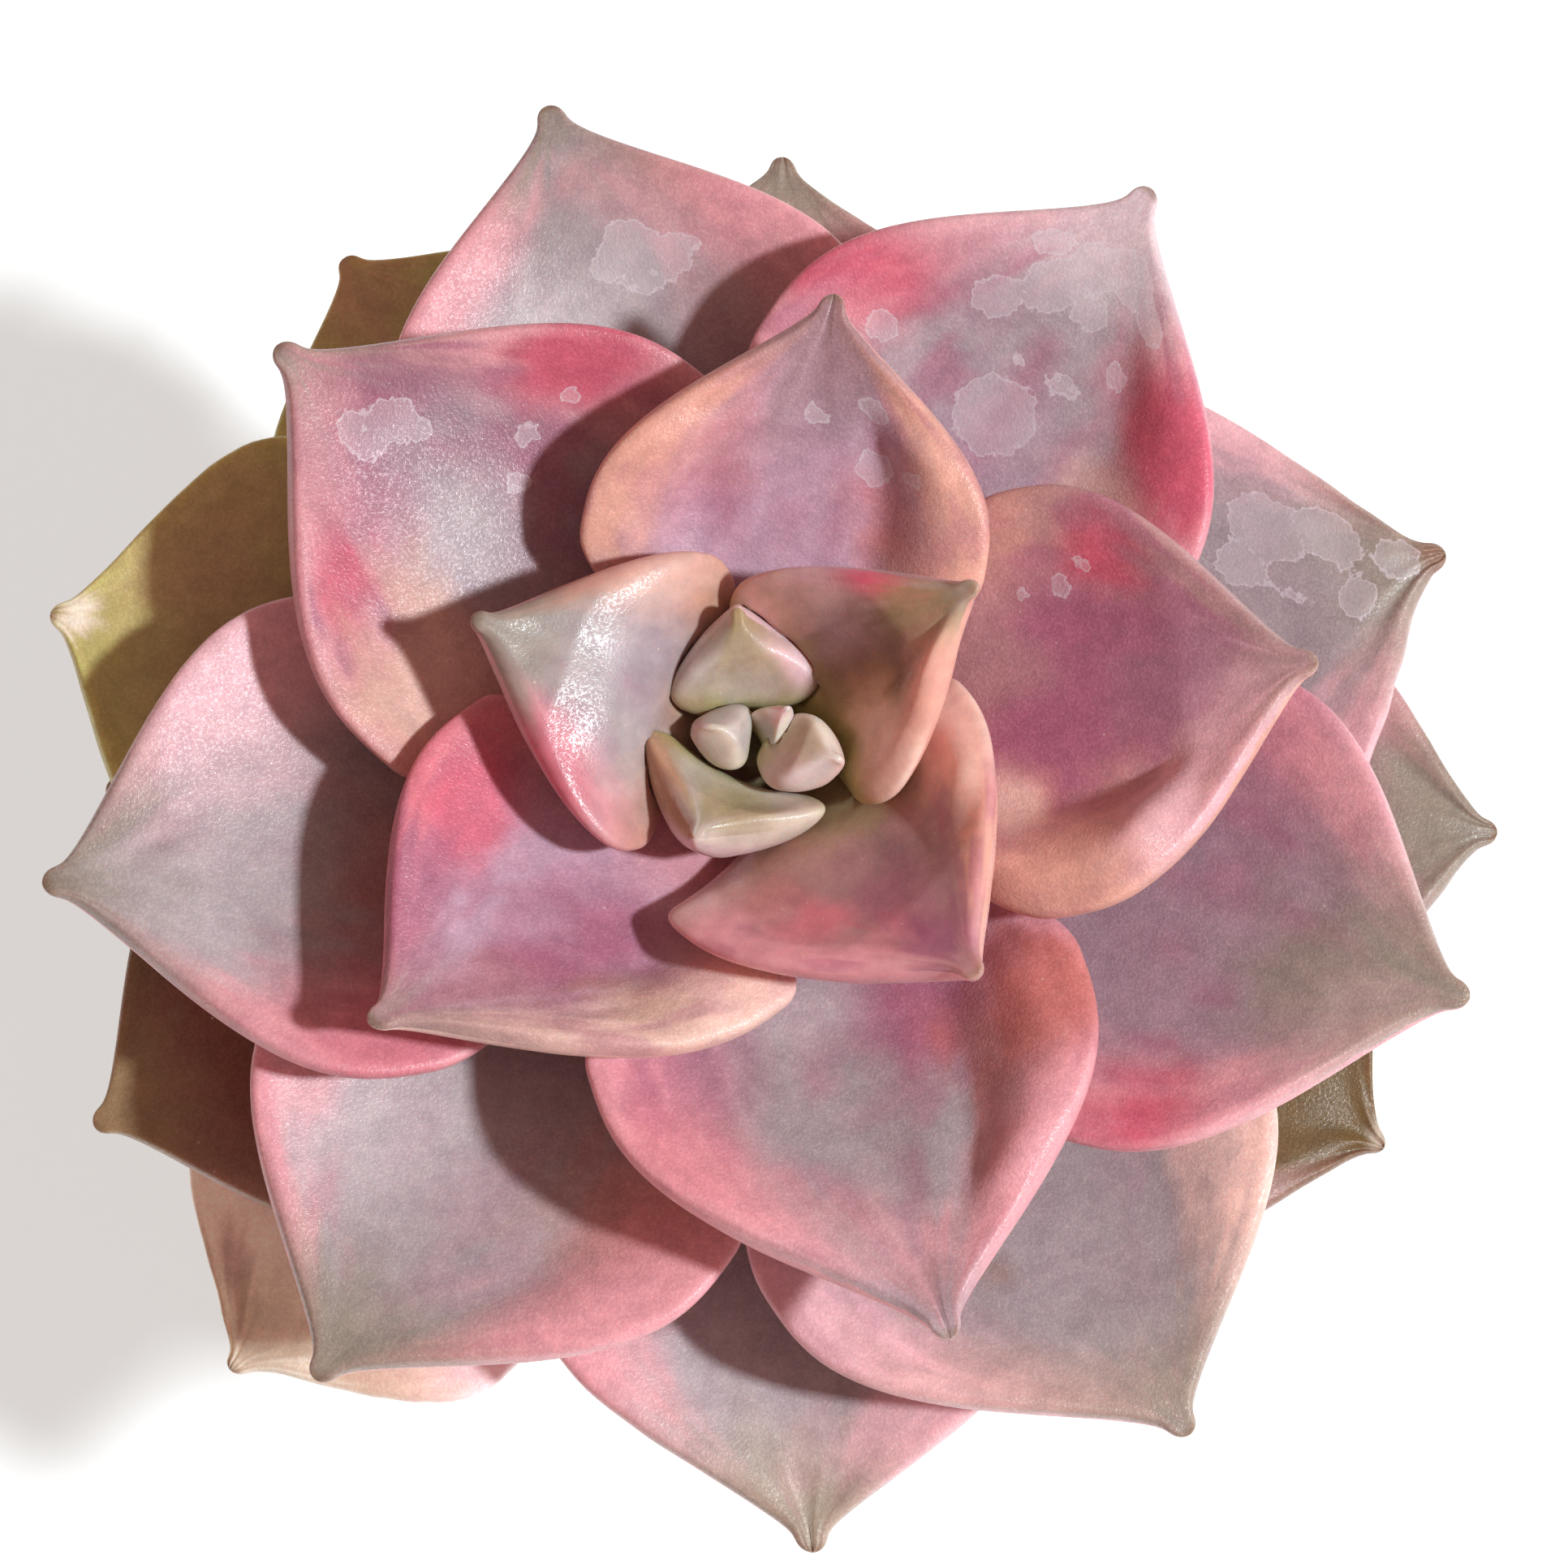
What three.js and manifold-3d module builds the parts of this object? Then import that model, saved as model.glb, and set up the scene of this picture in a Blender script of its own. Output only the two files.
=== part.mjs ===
// A potted variegated graptopetalum: one fleshy rosette on a short stem, in a plain clay pot.
// Millimetres, +Z up. The origin is the centre of the pot's underside, and the pot's axis is Z.

import * as THREE from "three";
import { mergeVertices } from "three/addons/utils/BufferGeometryUtils.js";
import Module from "manifold-3d";

const wasm = await Module();
wasm.setup();

// What touches on the real plant is this far apart, and a leaf is hollowed this far from a younger one
const fitGap = 0.35;
const hollowGap = 0.75;

// The pot: a plain tapered clay one with a collar, and drain holes round its middle
const potHeight = 60;
const potRimRadius = 36;
const potFootRadius = 24.5;
const potWall = 3.6;
const potFloor = 4.5;
const potEdge = 1;
const potSides = 48;
const collarHeight = 15;
const collarStep = 2.2;
const innerCorner = 3;
const drainHoles = 3;
const drainHoleRadius = 2.6;
const drainCircleRadius = 10.5;
const drainSides = 16;

// The soil, a little higher round the stem
const soilTop = 54;
const soilMound = 1.6;
const soilRings = 6;
const soilWaves = [
  { x: 0.55, y: 0.32, phase: 1.3, height: 0.3 },
  { x: -0.4, y: 0.7, phase: 0.4, height: 0.3 },
  { x: 0.9, y: -0.8, phase: 2.1, height: 0.2 },
];

// The stem: upright in the soil, then leaning, and thinner towards its growing tip, where the taper
// stops short of the axis
const stemRadius = 5;
const stemFoot = 26;
const stemTop = 90.5;
const stemTaper = { start: 78, end: 94, power: 1.2 };
const stemLean = { x: -1.2, y: -0.4 };
const stemStraightRings = 4;
const stemTaperRings = 8;
const stemSides = 24;

// The spiral of leaves, the youngest first and on top: degrees, and mm down the stem
const goldenTurn = 137.508;
const firstTurn = 65;
const topJoint = 93;
const jointStep = 0.85;
const budJoint = 91.3;
const leafCurl = 18;

// What changes with age: the value of an old leaf, what a young one has more, and how soon that fades
const liftByAge = { old: -8, young: 74, fade: 12 };
const widestByAge = { old: 0.53, young: 0.72, fade: 8 };
const baseWidthByAge = { old: 0.2, young: 0.65, fade: 7 };
const thickeningByAge = { old: 0.45, young: -0.3, fade: 8 };
const cupByAge = { old: 0.12, young: 0.2, fade: 6 };
const cuppingByAge = { old: 0.45, young: -0.43, fade: 10 };

// The blade: outline, thickness and section
const mostWidest = 0.88;
const tipFullness = 1.45;
const shoulderFullness = 3.1;
const tipRadius = 1;
const tipRadiusWidth = 34;
const tipRadiusPower = 0.7;
const lobeLengthByAge = { old: 1.5, young: 9, fade: 14 };
const mostLobeLength = 0.42;
const bladeHalfThickness = 2.5;
const thickeningWidth = 9;
const baseHalfThickness = 1.25;
const mostBaseThickness = 0.7;
const baseEndLength = 1.5;
const tipTaperLength = 9;
const mostTipTaperLength = 0.3;
const tipTaper = 0.55;
const marginFullness = 3;
const cupPower = 2.4;
const leafStations = 12;
const leafSides = 14;

// Each leaf's own turn and rise from the spiral in degrees, its length, width and sideways sweep in mm,
// and how far its widest line is from the tip next to other leaves of its age
const leaves = [
  { turn: -35.8, rise: 0.2, length: 5.1, width: 2.9, sweep: 0.1, point: 1 },
  { turn: -30, rise: 6, length: 4.7, width: 4.8, sweep: 0.1, point: 0.85 },
  { turn: -4.4, rise: -7.4, length: 8, width: 5.5, sweep: 0.3, point: 0.75 },
  { turn: -20.4, rise: -1, length: 8.5, width: 10.8, sweep: 0, point: 1.05 },
  { turn: -9.5, rise: 7, length: 9, width: 13.9, sweep: -0.3, point: 1.05 },
  { turn: 2, rise: 11.8, length: 21.2, width: 18.5, sweep: -2.2, point: 1.5 },
  { turn: -8.8, rise: 1.6, length: 20.9, width: 21.5, sweep: 0, point: 0.93 },
  { turn: 3.4, rise: 7.6, length: 25.9, width: 25.4, sweep: -1.1, point: 1 },
  { turn: -2.2, rise: 0, length: 29.4, width: 27.4, sweep: -1.7, point: 0.8 },
  { turn: 2.3, rise: -3.2, length: 31, width: 29.4, sweep: -3.3, point: 0.95 },
  { turn: 6.5, rise: 0, length: 36.4, width: 29.6, sweep: -0.6, point: 0.87 },
  { turn: 2.5, rise: 0, length: 40, width: 34.5, sweep: 1, point: 1 },
  { turn: 9.3, rise: 0, length: 40.1, width: 33.9, sweep: 2, point: 1 },
  { turn: 1, rise: 0, length: 44.2, width: 34.5, sweep: 1, point: 1 },
  { turn: 3, rise: 0, length: 45.6, width: 34, sweep: -1, point: 1 },
  { turn: 10, rise: 2, length: 47, width: 35, sweep: 1.5, point: 1 },
  { turn: 1.5, rise: 0, length: 45, width: 35, sweep: 1, point: 1 },
  { turn: -6.5, rise: -1, length: 47, width: 35.6, sweep: -1, point: 1 },
  { turn: -0.5, rise: -1.5, length: 45.5, width: 37.5, sweep: -1.5, point: 1 },
  { turn: 10, rise: 2, length: 46, width: 32, sweep: 0, point: 0.8 },
  { turn: 5, rise: 0, length: 49, width: 37.5, sweep: 2, point: 1 },
  { turn: 15.5, rise: 0, length: 41.6, width: 31, sweep: 0, point: 1 },
  { turn: -3, rise: -2, length: 47.3, width: 31.5, sweep: 0, point: 1 },
  { turn: 9, rise: 0, length: 47, width: 31, sweep: 0, point: 1 },
  { turn: 2, rise: -1, length: 46, width: 31, sweep: 0, point: 0.9 },
  { turn: 7.5, rise: 0, length: 48, width: 35, sweep: 3.2, point: 1 },
  { turn: 0, rise: -1, length: 38, width: 28, sweep: 0, point: 1 },
  { turn: 0, rise: -3, length: 43, width: 30, sweep: 0, point: 1 },
  { turn: 16, rise: -1, length: 45.5, width: 29, sweep: 0, point: 0.9 },
  { turn: 0, rise: -4, length: 41, width: 27, sweep: 0, point: 1 },
  { turn: -4, rise: -2, length: 50.3, width: 29.5, sweep: 0, point: 0.9 },
];

const radians = THREE.MathUtils.degToRad;
const plant = new THREE.Group();

function finish(color, roughness) {
  return new THREE.MeshStandardMaterial({ color, roughness, metalness: 0, flatShading: true });
}

const clay = finish(0xb9714f, 0.85);
const earth = finish(0x4b3a2d, 0.95);
const bark = finish(0x8c8262, 0.8);
const youngLeaf = new THREE.Color(0xc9c0a8);
const oldLeaf = new THREE.Color(0xc497a0);
const coloringLeaves = 8;

function place(name, geometry, material) {
  const mesh = new THREE.Mesh(geometry, material);
  mesh.name = name;
  plant.add(mesh);
}

// A geometry with only its positions, its shared vertices joined
function closed(geometry) {
  const plain = geometry.clone();
  plain.deleteAttribute("normal");
  plain.deleteAttribute("uv");
  return mergeVertices(plain);
}

function toSolid(geometry) {
  const plain = closed(geometry);
  const vertProperties = new Float32Array(plain.attributes.position.array);
  const triVerts = new Uint32Array(plain.index.array);
  return new wasm.Manifold(new wasm.Mesh({ numProp: 3, vertProperties, triVerts }));
}

function toGeometry(solid) {
  const mesh = solid.getMesh();
  const geometry = new THREE.BufferGeometry();
  geometry.setAttribute("position", new THREE.BufferAttribute(mesh.vertProperties, 3));
  geometry.setIndex(new THREE.BufferAttribute(mesh.triVerts, 1));
  return geometry;
}

// A profile of [radius, height] pairs turned round the vertical axis
function turned(profile, sides) {
  const points = profile.map(([radius, height]) => new THREE.Vector2(radius, height));
  return closed(new THREE.LatheGeometry(points, sides).rotateX(Math.PI / 2));
}

// Every vertex of a geometry moved by a function
function moved(geometry, move) {
  const position = geometry.attributes.position;
  const point = new THREE.Vector3();
  for (let i = 0; i < position.count; i += 1) {
    point.fromBufferAttribute(position, i);
    move(point);
    position.setXYZ(i, point.x, point.y, point.z);
  }
  return geometry;
}

function smoothStep(x) {
  const reach = THREE.MathUtils.clamp(x, 0, 1);
  return reach * reach * (3 - 2 * reach);
}

// A quarter of a circle from 0 to 1, which rounds off an end
function roundEnd(x) {
  const reach = THREE.MathUtils.clamp(x, 0, 1);
  return Math.sqrt(reach * (2 - reach));
}

function atAge(range, index) {
  return range.old + range.young * Math.exp(-index / range.fade);
}

const cavityFoot = { radius: potFootRadius - potWall + potEdge, height: potFloor + innerCorner };
const cavityTop = { radius: potRimRadius - potWall, height: potHeight - potEdge };

// The radius of the pot's inner wall at a height above its rounded corner
function cavityRadiusAt(height) {
  const up = (height - cavityFoot.height) / (cavityTop.height - cavityFoot.height);
  return THREE.MathUtils.lerp(cavityFoot.radius, cavityTop.radius, up);
}

function potGeometry() {
  const bodyTop = potHeight - collarHeight;
  let pot = toSolid(turned([
    [0, 0],
    [potFootRadius - potEdge, 0],
    [potFootRadius, potEdge],
    [potRimRadius - collarStep - potEdge, bodyTop],
    [potRimRadius - potEdge, bodyTop + potEdge],
    [potRimRadius, potHeight - potEdge],
    [potRimRadius - potEdge, potHeight],
    [cavityTop.radius + potEdge, potHeight],
    [cavityTop.radius, cavityTop.height],
    [cavityFoot.radius, cavityFoot.height],
    [cavityFoot.radius - innerCorner, potFloor],
    [0, potFloor],
  ], potSides));
  for (let i = 0; i < drainHoles; i += 1) {
    const turn = (2 * Math.PI * i) / drainHoles;
    const drill = new THREE.CylinderGeometry(drainHoleRadius, drainHoleRadius, 3 * potFloor, drainSides);
    drill.rotateX(Math.PI / 2);
    drill.translate(drainCircleRadius * Math.cos(turn), drainCircleRadius * Math.sin(turn), 0);
    pot = pot.subtract(toSolid(drill));
  }
  return toGeometry(pot);
}

// The soil's own surface: higher at the stem, with low bumps, and flat where it meets the wall
function soilHeightAt(x, y) {
  const outward = Math.min(Math.hypot(x, y) / cavityRadiusAt(soilTop), 1);
  let height = soilMound;
  for (const wave of soilWaves) {
    height += wave.height * Math.sin(wave.x * x + wave.y * y + wave.phase);
  }
  return soilTop + height * (1 - outward * outward);
}

function soilGeometry() {
  const profile = [
    [0, potFloor + fitGap],
    [cavityFoot.radius - innerCorner - fitGap, potFloor + fitGap],
    [cavityFoot.radius - fitGap, cavityFoot.height + fitGap],
  ];
  const rim = cavityRadiusAt(soilTop) - fitGap;
  for (let i = 0; i <= soilRings; i += 1) {
    profile.push([rim * (1 - i / soilRings), soilTop]);
  }
  const heap = moved(turned(profile, potSides), (point) => {
    if (point.z === soilTop) {
      point.z = soilHeightAt(point.x, point.y);
    }
  });
  const holeRadius = stemRadius + fitGap;
  const hole = turned([
    [0, stemFoot - fitGap],
    [holeRadius, stemFoot - fitGap],
    [holeRadius, potHeight],
    [0, potHeight],
  ], stemSides);
  return toGeometry(toSolid(heap).subtract(toSolid(hole)));
}

// The leaves of the bud stand on the stem's top, where there is no stem beside them
function stemRadiusAt(height) {
  if (height > stemTop) {
    return 0;
  }
  const intoTaper = Math.max((height - stemTaper.start) / (stemTaper.end - stemTaper.start), 0);
  return stemRadius * (1 - intoTaper ** stemTaper.power);
}

// How much of its whole lean the stem has at a height
function leanAt(height) {
  return Math.max((height - soilTop) / (stemTaper.end - soilTop), 0) ** 2;
}

function stemGeometry() {
  const profile = [[0, stemFoot], [stemRadius - potEdge, stemFoot], [stemRadius, stemFoot + potEdge]];
  for (let i = 0; i < stemStraightRings; i += 1) {
    profile.push([stemRadius, THREE.MathUtils.lerp(soilTop, stemTaper.start, i / stemStraightRings)]);
  }
  for (let i = 0; i <= stemTaperRings; i += 1) {
    const height = THREE.MathUtils.lerp(stemTaper.start, stemTop, i / stemTaperRings);
    profile.push([stemRadiusAt(height), height]);
  }
  profile.push([0, stemTop]);
  return moved(turned(profile, stemSides), (point) => {
    const lean = leanAt(point.z);
    point.x += stemLean.x * lean;
    point.y += stemLean.y * lean;
  });
}

// Half the blade's width at a distance from the tip, as a share of its greatest: pointed, with a small
// round end, and with round lobes at the base
function outlineAt(fromTip, leaf, index) {
  const ownWidest = atAge(widestByAge, index) * leaf.width * leaf.point;
  const widest = Math.min(ownWidest, mostWidest * leaf.length);
  const pointed = 1 - (1 - Math.min(fromTip / widest, 1) ** tipFullness) ** shoulderFullness;
  const toBase = (fromTip - widest) / (leaf.length - widest);
  const narrowed = 1 - (1 - atAge(baseWidthByAge, index)) * smoothStep(toBase);

  const endRadius = tipRadius * Math.min(leaf.width / tipRadiusWidth, 1) ** tipRadiusPower;
  const end = (endRadius / (leaf.width / 2)) * roundEnd(fromTip / endRadius);
  const lobeLength = Math.min(atAge(lobeLengthByAge, index), mostLobeLength * leaf.length);
  const lobe = roundEnd((leaf.length - fromTip) / lobeLength);
  return Math.cbrt((pointed * narrowed) ** 3 + end ** 3) * lobe;
}

// A sine or cosine taken outwards, which makes an oval section fuller at its margins
function fuller(x) {
  return Math.sign(x) * Math.abs(x) ** (2 / marginFullness);
}

// Moves a point of a unit ball, its poles on Y, to the skin of a leaf
function ontoLeaf(point, leaf, index) {
  const along = (1 - THREE.MathUtils.clamp(point.y, -1, 1)) / 2;
  const around = Math.atan2(point.z, point.x);
  const fromTip = leaf.length * (1 - along);

  const lift = radians(atAge(liftByAge, index) + leaf.rise);
  const curl = radians(leafCurl);
  const startSlope = lift - curl / 2;
  const slope = startSlope + curl * along;
  const bladeThickness = bladeHalfThickness * (1 - Math.exp(-leaf.width / thickeningWidth));
  const baseThickness = Math.min(baseHalfThickness, mostBaseThickness * bladeThickness);
  const jointHeight = Math.min(topJoint - jointStep * index, budJoint);
  const jointRadius = stemRadiusAt(jointHeight) + fitGap + baseThickness * Math.max(Math.sin(lift), 0);
  const reach = (leaf.length * (Math.sin(slope) - Math.sin(startSlope))) / curl;
  const climb = (leaf.length * (Math.cos(startSlope) - Math.cos(slope))) / curl;
  const radial = jointRadius + reach;
  const height = jointHeight + climb;

  const baseEnd = roundEnd((along * leaf.length) / baseEndLength);
  const share = outlineAt(fromTip, leaf, index);
  const thickened = smoothStep(along / atAge(thickeningByAge, index));
  const taperLength = Math.min(tipTaperLength, mostTipTaperLength * leaf.length);
  const tipEnd = Math.min(fromTip / taperLength, 1) ** tipTaper;
  const halfThickness = THREE.MathUtils.lerp(baseThickness, bladeThickness, thickened) * tipEnd * baseEnd;

  const across = fuller(Math.cos(around));
  const cupped = smoothStep(along / atAge(cuppingByAge, index));
  const cup = atAge(cupByAge, index) * leaf.width * share * cupped * Math.abs(across) ** cupPower;
  const above = cup + halfThickness * fuller(Math.sin(around));
  const side = (leaf.width / 2) * share * across + leaf.sweep * along ** 2;

  const turn = radians(firstTurn + goldenTurn * index + leaf.turn);
  const lean = leanAt(jointHeight);
  const outward = radial - above * Math.sin(slope);
  point.x = stemLean.x * lean + outward * Math.cos(turn) - side * Math.sin(turn);
  point.y = stemLean.y * lean + outward * Math.sin(turn) + side * Math.cos(turn);
  point.z = height + above * Math.cos(slope);
}

function leafGeometry(leaf, index) {
  const ball = closed(new THREE.SphereGeometry(1, leafSides, leafStations));
  return moved(ball, (point) => ontoLeaf(point, leaf, index));
}

// A copy with every vertex moved outwards
function grown(geometry, distance) {
  const larger = geometry.clone();
  larger.computeVertexNormals();
  const { position, normal } = larger.attributes;
  for (let i = 0; i < position.count; i += 1) {
    const x = position.getX(i) + distance * normal.getX(i);
    const y = position.getY(i) + distance * normal.getY(i);
    const z = position.getZ(i) + distance * normal.getZ(i);
    position.setXYZ(i, x, y, z);
  }
  return larger;
}

// Leaves press on the younger ones above them, so each is hollowed where a younger one lies in it
function leafGeometries() {
  const blades = leaves.map(leafGeometry);
  const hollows = blades.map((blade) => toSolid(grown(blade, hollowGap)));
  return blades.map((blade, index) => {
    let solid = toSolid(blade);
    for (const hollow of hollows.slice(0, index)) {
      solid = solid.subtract(hollow);
    }
    return toGeometry(solid);
  });
}

place("pot", potGeometry(), clay);
place("soil", soilGeometry(), earth);
place("stem", stemGeometry(), bark);
leafGeometries().forEach((geometry, index) => {
  const color = youngLeaf.clone().lerp(oldLeaf, smoothStep(index / coloringLeaves));
  place(`leaf_${String(index).padStart(2, "0")}`, geometry, finish(color, 0.5));
});

export default plant;
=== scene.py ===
import math
import random

import bmesh
import bpy
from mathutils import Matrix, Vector, noise
from mathutils.bvhtree import BVHTree


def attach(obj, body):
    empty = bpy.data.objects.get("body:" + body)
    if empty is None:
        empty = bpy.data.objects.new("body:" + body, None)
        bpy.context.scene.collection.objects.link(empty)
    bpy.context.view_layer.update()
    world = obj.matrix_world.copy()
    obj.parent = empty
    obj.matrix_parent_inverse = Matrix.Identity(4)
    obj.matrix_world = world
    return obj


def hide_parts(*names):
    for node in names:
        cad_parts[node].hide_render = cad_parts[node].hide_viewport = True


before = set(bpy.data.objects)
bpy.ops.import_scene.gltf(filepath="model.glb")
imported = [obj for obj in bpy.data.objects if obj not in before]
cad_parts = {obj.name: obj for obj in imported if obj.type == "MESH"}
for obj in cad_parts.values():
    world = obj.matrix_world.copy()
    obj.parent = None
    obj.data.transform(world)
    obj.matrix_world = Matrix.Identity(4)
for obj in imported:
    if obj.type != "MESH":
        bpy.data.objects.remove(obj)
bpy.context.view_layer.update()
mm = 0.001
print("frame loaded:", len(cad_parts), "nodes")

# Camera: nearly overhead, a little from the front
view = {
    "elevation": 77,
    "distance": 0.3,
    "target": (0, 0, 0.085),
    "lens": 99.82,
    "sensor": 36,
    "nearest": 0.01,
    "shiftX": 0.01087,
    "shiftY": -0.01483,
}


def addCamera():
    data = bpy.data.cameras.new("camera")
    data.lens = view["lens"]
    data.sensor_width = view["sensor"]
    data.shift_x = view["shiftX"]
    data.shift_y = view["shiftY"]
    data.clip_start = view["nearest"]
    camera = bpy.data.objects.new("camera", data)
    tilt = math.radians(view["elevation"])
    back = Vector((0, -math.cos(tilt), math.sin(tilt)))
    camera.location = Vector(view["target"]) + back * view["distance"]
    camera.rotation_euler = (-back).to_track_quat("-Z", "Y").to_euler()
    bpy.context.collection.objects.link(camera)
    bpy.context.scene.camera = camera


addCamera()


# Colours, as they look in daylight
displayGamma = 2.2
tones = {
    "greyLilac": (176, 158, 166),
    "silver": (204, 190, 194),
    "lilac": (190, 150, 170),
    "magenta": (168, 98, 124),
    "crimson": (212, 92, 116),
    "rose": (226, 156, 164),
    "blush": (236, 196, 200),
    "peach": (222, 164, 148),
    "coral": (196, 108, 98),
    "salmon": (214, 138, 126),
    "mauve": (156, 116, 118),
    "brown": (136, 98, 80),
    "ochre": (190, 142, 98),
    "tipGrey": (164, 150, 138),
    "olive": (150, 132, 92),
    "darkOlive": (108, 84, 48),
    "cream": (222, 206, 190),
    "bone": (214, 200, 184),
    "chestnut": (124, 74, 58),
    "pearl": (206, 192, 186),
    "dried": (222, 210, 218),
    "slate": (164, 148, 152),
    "heather": (164, 134, 146),
    "duskRose": (184, 136, 138),
    "pinkRed": (222, 124, 136),
    "pink": (232, 178, 186),
    "shell": (240, 198, 186),
    "sand": (192, 174, 150),
    "tan": (184, 142, 116),
    "khaki": (172, 150, 112),
    "umber": (124, 104, 82),
    "moss": (160, 152, 92),
    "tipRose": (166, 132, 130),
    "tipMoss": (146, 134, 120),
}


def linear(tone):
    return [(value / 255) ** displayGamma for value in tones[tone]]


def mixed(a, b, share):
    return [x + (y - x) * share for x, y in zip(a, b)]


def clamp(x, low=0.0, high=1.0):
    return max(low, min(high, x))


def smoothStep(x):
    x = clamp(x)
    return x * x * (3 - 2 * x)


# Every shape is finished here: its mesh, its material, what it rides on and what it replaces
def asPiece(bm, name, material, node, smooth=True):
    mesh = bpy.data.meshes.new(name)
    bm.to_mesh(mesh)
    bm.free()
    mesh.polygons.foreach_set("use_smooth", [smooth] * len(mesh.polygons))
    piece = bpy.data.objects.new(name, mesh)
    bpy.context.collection.objects.link(piece)
    mesh.materials.append(material)
    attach(piece, "root")
    if node:
        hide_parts(node)
    return piece


# The leaf spiral, as the model's own leaves have it: degrees and millimetres
spiral = {
    "goldenTurn": 137.508,
    "firstTurn": 65,
    "topJoint": 93,
    "jointStep": 0.85,
    "budJoint": 91.3,
    "curl": 18,
    "fitGap": 0.35,
    "soilTop": 54,
    "stemRadius": 5,
    "stemBottom": 26,
    "stemTop": 90.5,
    "taperStart": 78,
    "taperEnd": 94,
    "taperPower": 1.2,
    "leanX": -1.2,
    "leanY": -0.4,
}

# What changes with age: an old leaf's value, what a young one has more, and how soon that fades
ages = {
    "lift": (-8, 74, 12),
    "widest": (0.53, 0.72, 8),
    "baseWidth": (0.2, 0.65, 7),
    "thickening": (0.45, -0.3, 8),
    "cup": (0.12, 0.2, 6),
    "cupping": (0.45, -0.43, 10),
    "lobeLength": (1.5, 9, 14),
}

# The first leaves are buds, and a few more are still young
blade = {
    "budCount": 5,
    "youngCount": 8,
    "mostWidest": 0.88,  # share of the length
    "tipFullness": 1.45,
    "shoulderFullness": 3.1,
    "tipRadius": 1.0,
    "tipRadiusWidth": 34,
    "tipRadiusPower": 0.7,
    "tipBlend": 3,
    "mostLobe": 0.42,
    "marginFullness": 3,
    "youngFullness": 2,
    "halfThickness": 2.5,
    "thickeningWidth": 9,
    "baseHalfThickness": 1.25,
    "mostBaseThickness": 0.7,
    "baseEndLength": 1.5,
    "tipTaperLength": 9,
    "tipTaperShare": 0.3,
    "tipTaper": 0.55,
    "cupPower": 2.4,
    "rollCrest": 0.74,
    "rollWidth": 0.2,
    "creasePlace": 0.44,
    "creaseWidth": 0.1,
    "creaseDepth": 0.45,
    "rollEase": 0.13,
    "grooveStart": 0.3,
    "grooveWidth": 0.07,
    "wrinkleStart": 0.62,
    "wrinkleEase": 0.25,
    "ridgesAcross": 3.2,
    "ridgeLength": 5,
    "ridgeHeight": 1.4,
    "raggedLength": 1.5,
}

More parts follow.
